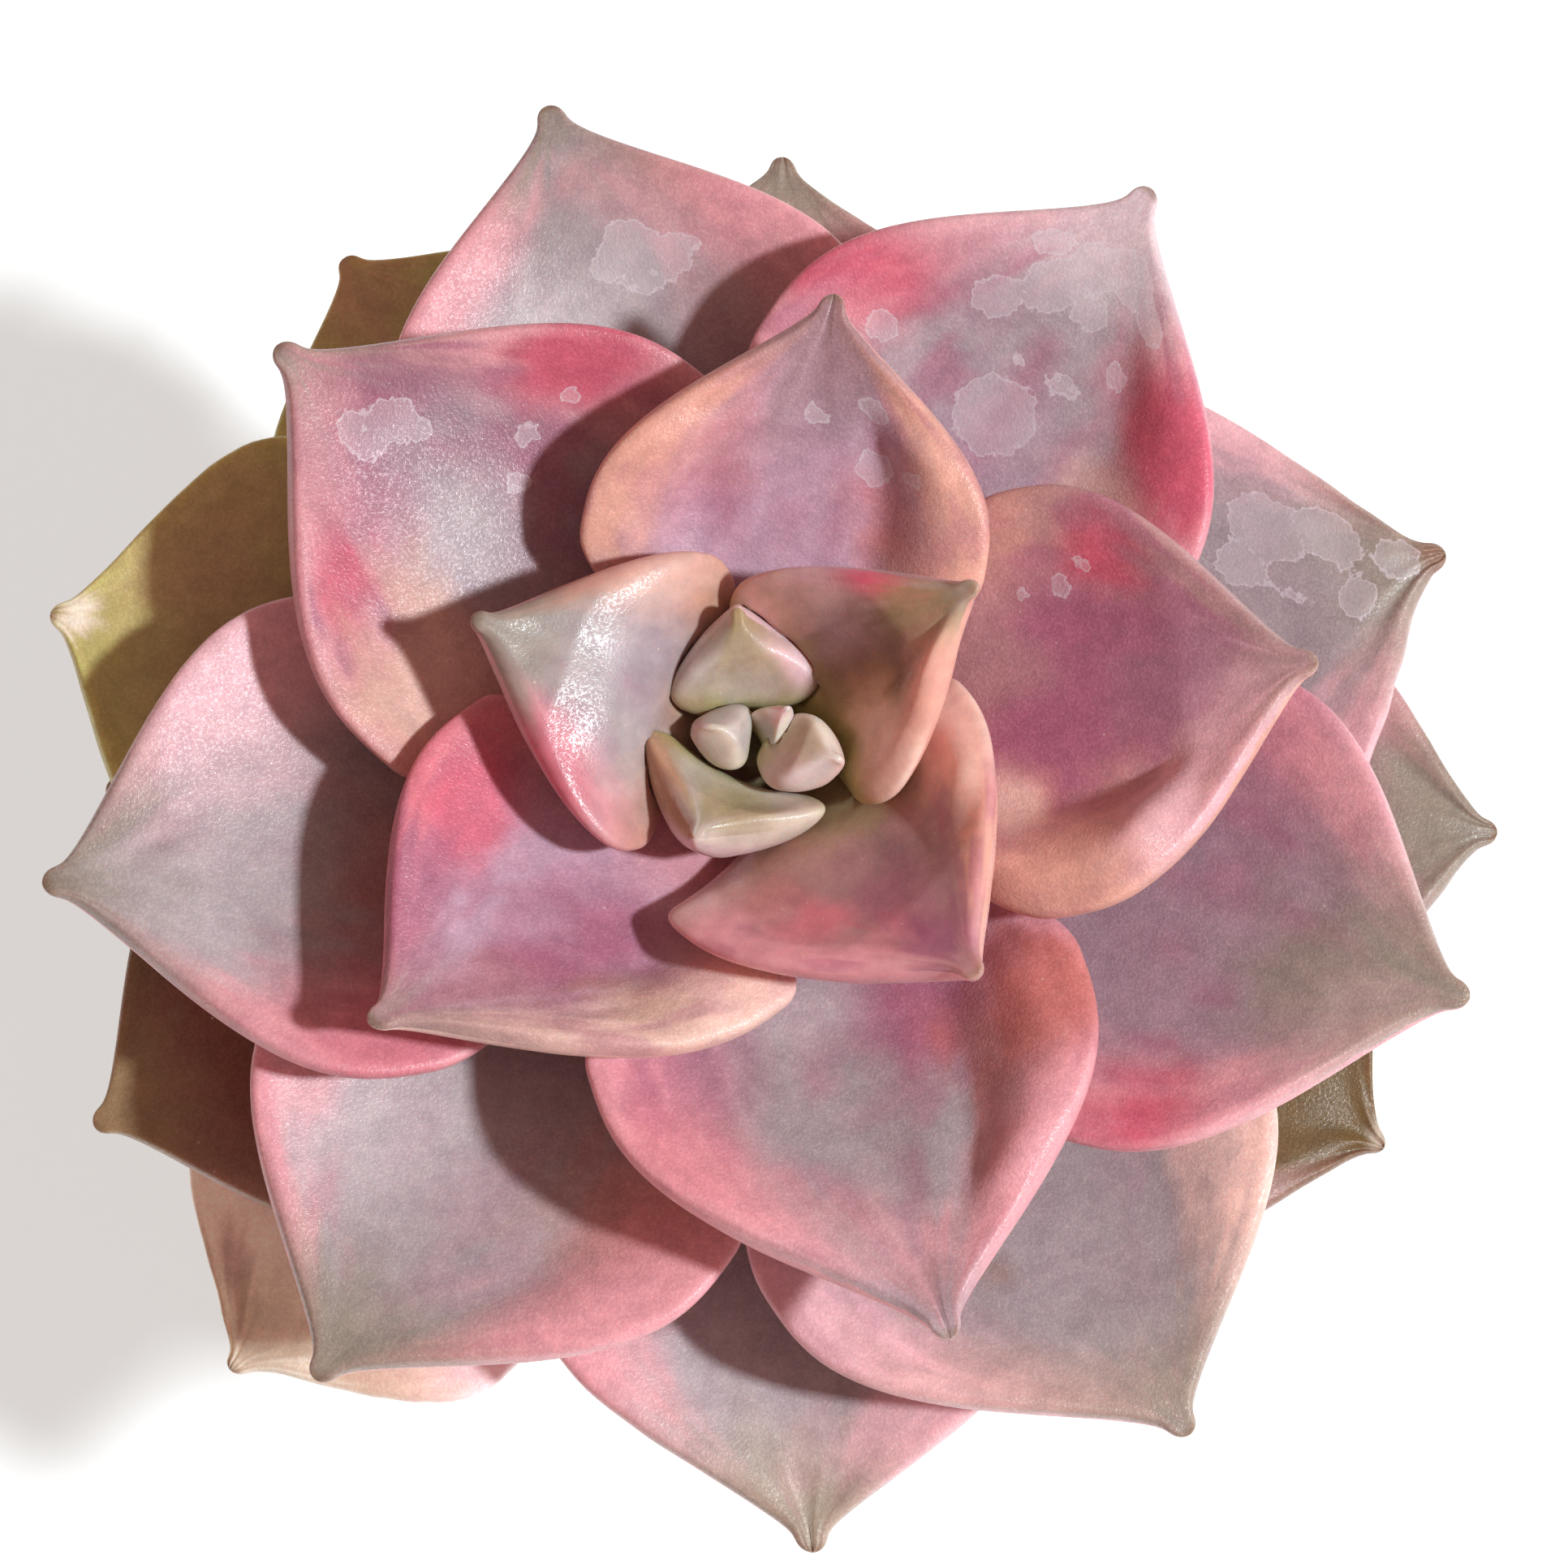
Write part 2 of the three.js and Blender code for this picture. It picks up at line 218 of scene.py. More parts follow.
# One leaf a row, youngest first: its form is (turn, rise, length, width, sweep, reach of its point), low is
# its clockwise margin and high the other. Marks are (along, across, size, tone, strength), rolls of a
# margin (side, start, end, height), puffs (along, across, size, height), and spots, which are dried drops
# of water, (along, across, radius). Places are shares of the blade, sizes mm and angles degrees. Shade is
# a gain on the whole leaf's colour, partly its own tone and partly painted light and shade: darker on
# leaves that face the key light, lighter on leaves that lie in cast shadow
leaves = [
    dict(form=(-35.8, 0.2, 5.1, 2.9, 0.1, 1), plump=1.2,
         centre="pearl", low="cream", high="cream", tip="blush", base="moss"),
    dict(form=(-30, 6, 4.7, 4.8, 0.1, 0.85), plump=1.7, cup=0.5, shade=0.8,
         centre="pearl", low="pearl", high="cream", tip="cream", base="moss"),
    dict(form=(-4.4, -7.4, 8, 5.5, 0.3, 0.75), plump=1.45, cup=0.6, shade=1.1,
         centre="sand", low="pearl", high="cream", tip="pearl", base="moss",
         marks=[(0.6, -0.6, 2, "blush", 0.35)]),
    dict(form=(-20.4, -1, 8.5, 10.8, 0, 1.05), plump=1.25, cup=0.55, shade=0.86,
         centre="sand", low="blush", high="pearl", tip="khaki", base="moss",
         marks=[(0.5, -0.5, 2.6, "rose", 0.12), (0.28, 0.8, 2.5, "khaki", 0.7),
                (0.4, 0.1, 2.5, "pearl", 0.4), (0.8, 0, 2.6, "khaki", 0.4)]),
    dict(form=(-9.5, 7, 9, 13.9, -0.3, 1.05), shade=0.88,
         centre="pearl", low="tan", high="cream", tip="pearl", base="moss",
         # the cream mark at (0.12, 0.6) is painted light over the shade the younger leaves cast near the
         # base
         marks=[(0.64, 0.28, 3.2, "khaki", 0.85), (0.12, 0.6, 3, "cream", 0.8),
                (0.3, -0.2, 4, "moss", 0.35)]),
    dict(form=(2, 11.8, 21.2, 18.5, -2.2, 1.5), shade=1.12, blotch=0.3, rolls=[(-1, 0.12, 0.9, 0.6)],
         centre="brown", low="peach", high="duskRose", tip="tipGrey", base="moss",
         marks=[(0.74, 0.95, 3, "crimson", 0.95), (0.8, 0.2, 3.5, "khaki", 0.8),
                (0.5, 0.35, 3.5, "mauve", 0.85), (0.42, -0.48, 4, "ochre", 0.9),
                # the shell mark at (0.4, -0.5) is painted light in the crease that the roll shades
                (0.4, -0.5, 3, "shell", 0.75), (0.42, -0.85, 4.5, "shell", 0.8),
                (0.7, -0.75, 3.5, "peach", 0.8), (0.15, -0.55, 3.5, "moss", 0.9),
                (0.3, 0.8, 3.6, "rose", 0.5), (0.52, 0.82, 4, "blush", 0.6),
                (0.42, 0.75, 3, "tan", 0.5)]),
    dict(form=(-8.8, 1.6, 20.9, 21.5, 0, 0.93),
         centre="greyLilac", low="peach", high="rose", tip="tipGrey", base="tan",
         shade=0.84, blotch=0.2, puffs=[(0.51, -0.61, 5.5, 1.5), (0.47, 0.21, 6, 2)],
         marks=[(0.6, 0.8, 3.6, "crimson", 0.65), (0.5, -0.85, 5, "shell", 0.6),
                (0.8, -0.1, 5, "tipGrey", 0.8), (0.62, -0.15, 4, "silver", 0.5),
                (0.35, 0.5, 4, "pearl", 0.4)]),
    dict(form=(3.4, 7.6, 25.9, 25.4, -1.1, 1), shade=1.08, blotch=0.5, rolls=[(1, 0.15, 0.65, 1.1)],
         centre="duskRose", low="rose", high="peach", tip="duskRose", base="tan",
         marks=[(0.2, 0.3, 6, "khaki", 0.9), (0.38, 0.92, 6, "shell", 0.8),
                (0.5, 0.15, 3.2, "mauve", 0.8), (0.6, -0.1, 3.5, "magenta", 0.7),
                (0.54, -0.5, 3, "pinkRed", 0.85), (0.38, -0.5, 3, "coral", 0.4),
                (0.12, -0.85, 5, "blush", 0.8), (0.74, -0.35, 2.6, "pinkRed", 0.4),
                (0.85, -0.1, 2.6, "magenta", 0.8)]),
    dict(form=(-2.2, 0, 29.4, 27.4, -1.7, 0.8),
         centre="lilac", low="peach", high="peach", tip="mauve", base="greyLilac",
         blotch=0.35, groove=0.25, rolls=[(-1, 0.25, 0.8, 1.2), (1, 0.3, 0.75, 0.7)],
         marks=[(0.52, 0.42, 3, "magenta", 0.5), (0.7, 0.6, 6, "salmon", 0.4),
                (0.45, -0.45, 3, "coral", 0.55), (0.55, -0.4, 2.5, "coral", 0.4),
                (0.78, 0, 5, "heather", 0.8), (0.88, 0, 4, "mauve", 0.4)],
         spots=[(0.62, -0.41, 1.2), (0.73, -0.05, 0.8), (0.76, -0.5, 0.8), (0.62, -0.63, 0.5)]),
    dict(form=(2.3, -3.2, 31, 29.4, -3.3, 0.95), shade=0.93, blotch=0.5, rolls=[(1, 0.2, 0.6, 1.2)],
         centre="lilac", low="pinkRed", high="shell", tip="tipRose", base="rose",
         marks=[(0.5, -0.67, 5, "crimson", 0.85), (0.77, -0.75, 5, "magenta", 0.8),
                (0.65, 0.25, 5, "magenta", 1), (0.46, 0.25, 5, "magenta", 0.85),
                (0.75, 0.4, 5, "duskRose", 0.5), (0.55, 0.62, 3.6, "tan", 0.5),
                # this shell mark is painted light on a lobe that lies in the shadow of the leaf beside it
                (0.33, 0.71, 4, "shell", 0.8)]),
    dict(form=(6.5, 0, 36.4, 29.6, -0.6, 0.87), blotch=0.6, rolls=[(-1, 0.22, 0.78, 2.3)],
         centre="magenta", low="peach", high="duskRose", tip="tipRose", base="salmon",
         marks=[(0.64, 0.66, 3.5, "crimson", 0.85), (0.76, 0, 6, "heather", 0.3),
                (0.42, -0.42, 3, "coral", 0.6), (0.55, -0.8, 8, "peach", 0.7),
                (0.78, -0.7, 6, "pink", 0.8), (0.35, 0.4, 6, "duskRose", 0.8),
                # the shell mark at (0.4, -0.41) is a painted highlight on the lit fold of the lower margin
                (0.45, 0.9, 5, "peach", 0.5), (0.4, -0.41, 3, "shell", 0.9)],
         spots=[(0.55, 0.54, 0.7), (0.6, 0.63, 0.5), (0.47, 0.54, 0.4)]),
    dict(form=(2.5, 0, 40, 34.5, 1, 1), shade=0.82, blotch=0.7,
         centre="heather", low="rose", high="rose", tip="tipGrey", base="peach",
         marks=[(0.62, -0.74, 5, "crimson", 0.95), (0.67, 0.61, 5, "crimson", 0.9),
                (0.8, -0.38, 5, "magenta", 0.6), (0.6, -0.31, 4, "magenta", 0.6),
                (0.56, 0.12, 6, "silver", 0.6), (0.42, 0.65, 8, "peach", 0.9),
                (0.79, 0.2, 6, "magenta", 0.7), (0.86, 0.8, 6, "rose", 0.6),
                # this shell mark is painted light on the base of the margin, which lies in cast shadow
                (0.41, 0.63, 5, "shell", 0.5)],
         spots=[(0.54, -0.21, 0.9), (0.59, -0.41, 0.8), (0.82, 0.16, 1.1), (0.78, -0.1, 1.7),
                (0.74, -0.13, 1.2), (0.78, 0.13, 1.1), (0.58, -0.65, 0.6)]),
    dict(form=(9.3, 0, 40.1, 33.9, 2, 1), blotch=0.4, groove=0.3, rolls=[(1, 0.3, 0.85, 1.1)],
         centre="slate", low="rose", high="rose", tip="greyLilac", base="lilac",
         marks=[(0.4, 0.4, 6, "magenta", 0.9), (0.45, -0.6, 6, "magenta", 0.6),
                (0.36, -0.1, 4, "silver", 0.5), (0.62, -0.78, 6, "pinkRed", 0.4),
                (0.5, 0.74, 6, "coral", 0.8), (0.78, 0.85, 7, "rose", 0.8),
                (0.78, -0.45, 6, "rose", 0.4), (0.93, 0, 3, "mauve", 0.4)]),
    dict(form=(1, 0, 44.2, 34.5, 1, 1), shade=0.94, blotch=0.6, rolls=[(-1, 0.45, 0.85, 0.7)],
         centre="greyLilac", low="rose", high="rose", tip="silver", base="rose",
         marks=[(0.65, 0.8, 5, "crimson", 0.9), (0.7, -0.76, 6.5, "crimson", 0.95),
                (0.54, -0.5, 4, "peach", 0.5), (0.86, 0.75, 7, "pink", 0.6),
                (0.72, 0.45, 4, "magenta", 0.35), (0.5, -0.1, 8, "lilac", 0.5),
                (0.88, -0.2, 7, "silver", 0.4), (0.54, -0.48, 3.5, "shell", 0.5)],
         spots=[(0.57, 0.03, 2.9), (0.73, 0.36, 1.6), (0.59, 0.61, 1.1), (0.67, 0.08, 1),
                (0.67, -0.18, 0.9), (0.73, -0.38, 0.8), (0.79, 0.18, 2), (0.85, 0.03, 1.7),
                (0.87, -0.41, 1.7), (0.79, -0.13, 1.2), (0.83, -0.61, 1.1), (0.85, 0.48, 1.1)]),
    dict(form=(3, 0, 45.6, 34, -1, 1), shade=0.93, blotch=0.15,
         centre="slate", low="pink", high="rose", tip="tipMoss", base="coral",
         marks=[(0.66, -0.75, 9, "pink", 0.7), (0.55, 0.8, 8, "crimson", 0.5),
                (0.4, 0.2, 9, "coral", 0.5), (0.83, 0.45, 6, "silver", 0.5), (0.7, 0, 6, "silver", 0.3)]),
    dict(form=(10, 2, 47, 35, 1.5, 1), shade=0.95, blotch=0.4,
         centre="heather", low="rose", high="rose", tip="tipMoss", base="mauve",
         marks=[(0.63, -0.88, 5, "crimson", 0.9), (0.6, 0.65, 7, "magenta", 0.4),
                (0.8, 0.95, 7, "pink", 0.5), (0.84, -0.08, 8, "tipMoss", 0.75),
                (0.82, -0.85, 7, "pink", 0.25)]),
    dict(form=(1.5, 0, 45, 35, 1, 1), shade=0.96, blotch=0.25,
         centre="slate", low="rose", high="rose", tip="tipMoss", base="coral",
         marks=[(0.6, 0.25, 8, "silver", 0.75), (0.86, 0.1, 6, "slate", 0.7),
                (0.8, 0.8, 5, "rose", 0.8), (0.6, -0.6, 7, "duskRose", 0.5),
                (0.78, -0.65, 6, "rose", 0.5)],
         spots=[(0.75, -0.18, 2), (0.72, -0.31, 1.6), (0.73, -0.03, 1.2), (0.73, -0.43, 0.8),
                (0.69, -0.18, 1.1)]),
    dict(form=(-6.5, -1, 47, 35.6, -1, 1), blotch=0.2, rolls=[(1, 0.4, 0.85, 0.6)],
         centre="slate", low="rose", high="rose", tip="tipMoss", base="coral",
         marks=[(0.55, 0.6, 8, "salmon", 0.6), (0.68, 0.9, 7, "rose", 0.8),
                (0.65, -0.4, 8, "silver", 0.5)]),
    dict(form=(-0.5, -1.5, 45.5, 37.5, -1.5, 1), shade=0.94, wrinkle=0.3,
         centre="slate", low="pink", high="pink", tip="tipMoss", base="rose",
         marks=[(0.985, 0, 2, "brown", 0.8)],
         spots=[(0.76, 0.38, 2.5), (0.84, 0.38, 2.1), (0.85, -0.18, 1.4), (0.76, -0.05, 0.8),
                (0.93, 0.1, 1.4), (0.7, 0.21, 1.7)]),
    dict(form=(10, 2, 46, 32, 0, 0.8), shade=1.45, wrinkle=0.15,
         centre="olive", low="moss", high="moss", tip="moss", base="olive",
         marks=[(0.8, -0.6, 8, "tan", 0.3), (0.96, -0.1, 1.8, "bone", 1)]),
    dict(form=(5, 0, 49, 37.5, 2, 1),
         centre="slate", low="pink", high="shell", tip="tipMoss", base="rose",
         shade=0.95, blotch=0.15, rolls=[(-1, 0.35, 0.85, 0.5), (1, 0.35, 0.85, 0.4)],
         marks=[(0.76, -0.1, 10, "slate", 0.6), (0.82, -0.8, 8, "peach", 0.3),
                (0.68, -0.25, 1.5, "brown", 0.5)]),
    dict(form=(15.5, 0, 41.6, 31, 0, 1), wrinkle=0.15,
         centre="rose", low="rose", high="rose", tip="tipMoss", base="peach",
         marks=[(0.94, 0, 5, "tipMoss", 0.7)]),
    dict(form=(-3, -2, 47.3, 31.5, 0, 1), shade=1.13,
         centre="chestnut", low="darkOlive", high="brown", tip="brown", base="umber",
         marks=[(0.97, -0.1, 7, "olive", 0.55)]),
    dict(form=(9, 0, 47, 31, 0, 1), shade=0.9, wrinkle=0.2,
         centre="mauve", low="pink", high="rose", tip="tipMoss", base="mauve",
         marks=[(0.92, 0.1, 7, "tipMoss", 0.8)]),
    dict(form=(2, -1, 46, 31, 0, 0.9), shade=1.35,
         centre="olive", low="moss", high="moss", tip="moss", base="brown",
         marks=[(0.9, 0, 5, "brown", 0.5), (0.92, 0.16, 6, "tan", 0.4)]),
    dict(form=(7.5, 0, 48, 35, 3.2, 1), groove=0.4, wrinkle=0.12, rolls=[(-1, 0.4, 0.85, 0.5)],
         centre="slate", low="rose", high="pink", tip="tipGrey", base="mauve",
         marks=[(0.8, -0.35, 8, "silver", 0.4), (0.8, 0.62, 6, "pink", 0.8),
                (0.93, -0.25, 6, "olive", 0.3)]),
    dict(form=(0, -1, 38, 28, 0, 1),
         centre="mauve", low="rose", high="rose", tip="tipGrey", base="brown"),
    dict(form=(0, -3, 43, 30, 0, 1),
         centre="brown", low="olive", high="mauve", tip="olive", base="umber"),
    dict(form=(16, -1, 45.5, 29, 0, 0.9), shade=0.92, wrinkle=0.25,
         centre="darkOlive", low="pink", high="brown", tip="darkOlive", base="umber",
         marks=[(0.995, 0.5, 1.5, "bone", 0.6)]),
    dict(form=(0, -4, 41, 27, 0, 1),
         centre="moss", low="rose", high="olive", tip="tipGrey", base="umber"),
    # this leaf lies in cast shadow: its shade of 1.4 and the cream mark at (0.8, -0.3) paint light onto it
    dict(form=(-4, -2, 50.3, 29.5, 0, 0.9), shade=1.4, wrinkle=0.35,
         centre="cream", low="cream", high="blush", tip="bone", base="bone",
         marks=[(0.8, -0.3, 9, "cream", 0.8), (0.9, -0.6, 3, "brown", 0.5),
                (0.86, 0.8, 4, "ochre", 0.4), (0.93, 0, 5, "olive", 0.3)]),
]

leafMesh = {
    "segments": (112, 92),
    "budSegments": (64, 48),
    "seedStep": 3.7,
    "upperFrom": -0.15,  # radians round the section, so that margins count as upper skin
    "pressReach": 0.5,
    "pressDepth": 6,
    "pressGap": 0.15,
    "fullWaveWidth": 25,
    "leastWave": 0.1,
    "wavelength": 9,
    "waveHeight": 0.16,
    "creaseWavelength": 2.4,
    "creaseHeight": 0.05,
    "noSpot": 3,  # what skin far from any drop holds, in mm
}


def atAge(name, index):
    old, young, fade = ages[name]
    return old + young * math.exp(-index / fade)


def roundEnd(x):
    x = clamp(x)
    return math.sqrt(x * (2 - x))


def stemRadiusAt(height):
    if height > spiral["stemTop"]:
        return 0
    into = max((height - spiral["taperStart"]) / (spiral["taperEnd"] - spiral["taperStart"]), 0)
    return spiral["stemRadius"] * (1 - into ** spiral["taperPower"])


def leanAt(height):
    return max((height - spiral["soilTop"]) / (spiral["taperEnd"] - spiral["soilTop"]), 0) ** 2


def fuller(x, fullness=blade["marginFullness"]):
    return math.copysign(abs(x) ** (2 / fullness), x)


def acrossAt(around):
    return fuller(math.cos(around))


class LeafForm:
    # One leaf's place and size, and the way from a place on its skin to a point in millimetres
    def __init__(self, index, row):
        turn, rise, self.length, self.width, self.sweep, point = row["form"]
        self.index = index
        self.lift = math.radians(atAge("lift", index) + rise)
        self.curl = math.radians(spiral["curl"])
        self.startSlope = self.lift - self.curl / 2
        self.thickness = blade["halfThickness"] * (1 - math.exp(-self.width / blade["thickeningWidth"]))
        self.baseThickness = min(blade["baseHalfThickness"], blade["mostBaseThickness"] * self.thickness)
        self.jointHeight = min(spiral["topJoint"] - spiral["jointStep"] * index, spiral["budJoint"])
        self.jointRadius = stemRadiusAt(self.jointHeight) + spiral["fitGap"]
        self.jointRadius += self.baseThickness * max(math.sin(self.lift), 0)
        self.widest = min(atAge("widest", index) * self.width * point, blade["mostWidest"] * self.length)
        self.narrow = atAge("baseWidth", index)
        self.thickening = atAge("thickening", index)
        self.cup = atAge("cup", index) * self.width * row.get("cup", 1)
        self.cupping = atAge("cupping", index)
        self.turn = math.radians(spiral["firstTurn"] + spiral["goldenTurn"] * index + turn)
        self.lean = leanAt(self.jointHeight)
        self.plump = row.get("plump", 1)
        self.fullness = blade["youngFullness" if index < blade["youngCount"] else "marginFullness"]
        self.rolls = row.get("rolls", [])
        self.puffs = row.get("puffs", [])
        self.groove = row.get("groove", 0)
        self.wrinkle = row.get("wrinkle", 0)
        grown = min(self.width / blade["tipRadiusWidth"], 1)
        self.tipRadius = blade["tipRadius"] * grown ** blade["tipRadiusPower"]
        self.tipTaperLength = min(blade["tipTaperLength"], blade["tipTaperShare"] * self.length)
        self.lobeLength = min(atAge("lobeLength", index), blade["mostLobe"] * self.length)

    # How wide the blade is, as a share of its full width
    def shareAt(self, fromTip):
        if fromTip < self.widest:
            narrowing = (1 - (fromTip / self.widest) ** blade["tipFullness"]) ** blade["shoulderFullness"]
            share = 1 - narrowing
        else:
            toBase = (fromTip - self.widest) / (self.length - self.widest)
            share = 1 - (1 - self.narrow) * smoothStep(toBase)
        nub = self.tipRadius / (self.width / 2) * roundEnd(fromTip / self.tipRadius)
        blend = blade["tipBlend"]
        share = (share ** blend + nub ** blend) ** (1 / blend)
        return share * roundEnd((self.length - fromTip) / self.lobeLength)

    # Raised rolls along the margins, each with a crease inside it, then puffs and the middle groove
    def rollAt(self, along, across):
        above = 0
        ease = blade["rollEase"]
        for side, start, end, height in self.rolls:
            reach = smoothStep((along - start) / ease) * smoothStep((end - along) / ease)
            place = across * side
            crest = math.exp(-((place - blade["rollCrest"]) / blade["rollWidth"]) ** 2)
            crease = math.exp(-((place - blade["creasePlace"]) / blade["creaseWidth"]) ** 2)
            above += height * reach * (crest - blade["creaseDepth"] * crease)
        for puffAlong, puffAcross, size, height in self.puffs:
            off = math.hypot((along - puffAlong) * self.length, (across - puffAcross) * self.width / 2)
            above += height * math.exp(-(off / size) ** 2)
        reach = smoothStep((along - blade["grooveStart"]) / blade["grooveStart"])
        return above - self.groove * reach * math.exp(-(across / blade["grooveWidth"]) ** 2)

    # Dry ridges along the blade near its tip, up and to the side
    def wrinkleAt(self, along, across, seed):
        reach = self.wrinkle * smoothStep((along - blade["wrinkleStart"]) / blade["wrinkleEase"])
        if reach == 0:
            return 0, 0
        fromTip = self.length * (1 - along)
        ridge = noise.noise(Vector((across * blade["ridgesAcross"], fromTip / blade["ridgeLength"], seed)))
        edge = Vector((seed, fromTip / blade["raggedLength"], math.copysign(1, across)))
        ragged = noise.noise(edge) * abs(across) ** 3
        return blade["ridgeHeight"] * reach * ridge, reach * ragged

    # How far a place is from the edge of the nearest dried drop, or from where two drops met
    def spotAt(self, row, along, across):
        nearest = second = leafMesh["noSpot"]
        halfWidth = self.width / 2 * self.shareAt(self.length * (1 - along))
        for spotAlong, spotAcross, radius in row.get("spots", []):
            off = math.hypot((along - spotAlong) * self.length, (across - spotAcross) * halfWidth) - radius
            if off < nearest:
                nearest, second = off, nearest
            elif off < second:
                second = off
        return -min(-nearest, (second - nearest) / 2) if nearest < 0 else nearest

    def slopeAt(self, along):
        return self.startSlope + self.curl * along

    def sideward(self):
        return Vector((-math.sin(self.turn), math.cos(self.turn), 0))

    def upAt(self, along):
        slope = self.slopeAt(along)
        outward = -math.sin(slope)
        return Vector((outward * math.cos(self.turn), outward * math.sin(self.turn), math.cos(slope)))

    def pointAt(self, along, around):
        fromTip = self.length * (1 - along)
        slope = self.slopeAt(along)
        radial = self.jointRadius + self.length * (math.sin(slope) - math.sin(self.startSlope)) / self.curl
        height = self.jointHeight + self.length * (math.cos(self.startSlope) - math.cos(slope)) / self.curl
        baseEnd = roundEnd(along * self.length / blade["baseEndLength"])
        share = self.shareAt(fromTip)
        thickened = smoothStep(along / self.thickening)
        tipEnd = min(fromTip / self.tipTaperLength, 1) ** blade["tipTaper"]
        half = self.baseThickness + (self.thickness - self.baseThickness) * thickened
        half *= tipEnd * baseEnd * self.plump
        across = acrossAt(around)
        cup = self.cup * share * smoothStep(along / self.cupping) * abs(across) ** blade["cupPower"]
        above = cup + half * fuller(math.sin(around), self.fullness) + self.rollAt(along, across) * baseEnd
        side = self.width / 2 * share * across + self.sweep * along ** 2
        outward = radial - above * math.sin(slope)
        x = spiral["leanX"] * self.lean + outward * math.cos(self.turn) - side * math.sin(self.turn)
        y = spiral["leanY"] * self.lean + outward * math.sin(self.turn) + side * math.cos(self.turn)
        return Vector((x, y, height + above * math.cos(slope)))


def waveAt(point, seed):
    wide = noise.noise(point / leafMesh["wavelength"] + Vector((seed, 0, 0)))
    fine = noise.noise(point / leafMesh["creaseWavelength"] + Vector((0, seed, 0)))
    return wide * leafMesh["waveHeight"] + fine * leafMesh["creaseHeight"]


# How a leaf's tones meet: where each starts and how far it fades, as shares of the blade, and how much
# the drifting, the fine and the speckled noise move its edge
zones = {
    "driftLength": 11,
    "driftWidth": 9,
    "driftRough": (0.7, 2, 3),
    "fineScale": 3.3,
    "speckleScale": 8,
    "margin": (0.42, 0.42),
    "marginEdge": (0.14, 0.07, 0.03),
    "base": (0.42, 0.3),
    "baseDrift": 0.08,
    "baseStrength": 0.85,
    "tip": 0.2,
    "tipDrift": 1.5,
    "tipLeast": 0.5,
    "tipStrength": 0.9,
    "blotchScale": 1.9,
    "blotchFine": 0.5,
    "blotch": (0.08, 0.3),
    "blotchStart": (0.3, 0.2),
    "blotchEnd": (0.95, 0.15),
    "markEdge": (0.4, 0.3, 0.12),
    "fadeFrom": 1.25,
    "underMargin": (0.7, 0.3),
    "underBlush": 0.55,
    "mucro": (0.7, 0.6),
    "mucroStrength": 0.6,
    "grain": (0, 0.08, 0.06),
}


def rising(x, zone):
    start, fade = zones[zone]
    return smoothStep((x - start) / fade)


def falling(x, zone):
    end, fade = zones[zone]
    return smoothStep((end - x) / fade)


def moved(zone, noises):
    return sum(share * value for share, value in zip(zones[zone], noises))


# The colour of a place on the skin: a centre band, two margins, a tip and a base, and then its marks
def tintAt(row, form, along, across, over, seed):
    place = Vector((along * form.length / zones["driftLength"],
                    across * form.width / zones["driftWidth"], seed))
    drift = noise.fractal(place, *zones["driftRough"])
    fine = noise.noise(place * zones["fineScale"])
    noises = (drift, fine, noise.noise(place * zones["speckleScale"]))
    edge = abs(across) + moved("marginEdge", noises)
    margin = linear(row["high"] if across > 0 else row["low"])
    color = mixed(linear(row["centre"]), margin, rising(edge, "margin"))
    toBase = falling(along - zones["baseDrift"] * drift, "base")
    color = mixed(color, linear(row["base"]), zones["baseStrength"] * toBase)
    fromTip = form.length * (1 - along)
    tipReach = max(zones["tip"] * form.length + zones["tipDrift"] * drift, zones["tipLeast"])
    toTip = smoothStep(zones["fadeFrom"] - fromTip / tipReach)
    color = mixed(color, linear(row["tip"]), zones["tipStrength"] * toTip)
    blotch = noise.noise(place * zones["blotchScale"] + Vector((5, 0, 0))) + zones["blotchFine"] * fine
    blotch = rising(blotch, "blotch") * rising(along, "blotchStart") * falling(along, "blotchEnd")
    color = mixed(color, linear("magenta"), row.get("blotch", 0) * blotch)
    halfWidth = form.width / 2 * form.shareAt(fromTip)
    reach = zones["fadeFrom"] - moved("markEdge", noises)
    for markAlong, markAcross, size, tone, strength in row.get("marks", []):
        off = math.hypot((along - markAlong) * form.length, (across - markAcross) * halfWidth) / size
        color = mixed(color, linear(tone), strength * smoothStep(reach - off))
    if not over:
        under = mixed(linear(row["centre"]), linear("blush"), zones["underBlush"])
        color = mixed(under, margin, rising(edge, "underMargin"))
    if form.index >= blade["budCount"]:
        color = mixed(color, linear("umber"), zones["mucroStrength"] * falling(fromTip, "mucro"))
    # the row's shade gain is partly the leaf's own tone and partly painted light and shade
    gain = row.get("shade", 1) * (1 + moved("grain", noises))
    return [value * gain for value in color]


# How far a place of the upper skin gives way to the younger leaves that press on it
def dropUnder(younger, point, up):
    drop = 0
    reach = leafMesh["pressReach"]
    for tree, low, high in younger:
        if all(low[i] - reach < point[i] < high[i] + reach for i in range(3)):
            here = point - up * drop
            spot, normal = tree.find_nearest(here)[:2]
            if spot is not None and (here - spot).dot(normal) < 0:
                hit = tree.ray_cast(here, -up, leafMesh["pressDepth"])
                if hit[0] is not None:
                    drop += hit[3] + leafMesh["pressGap"]
    return drop


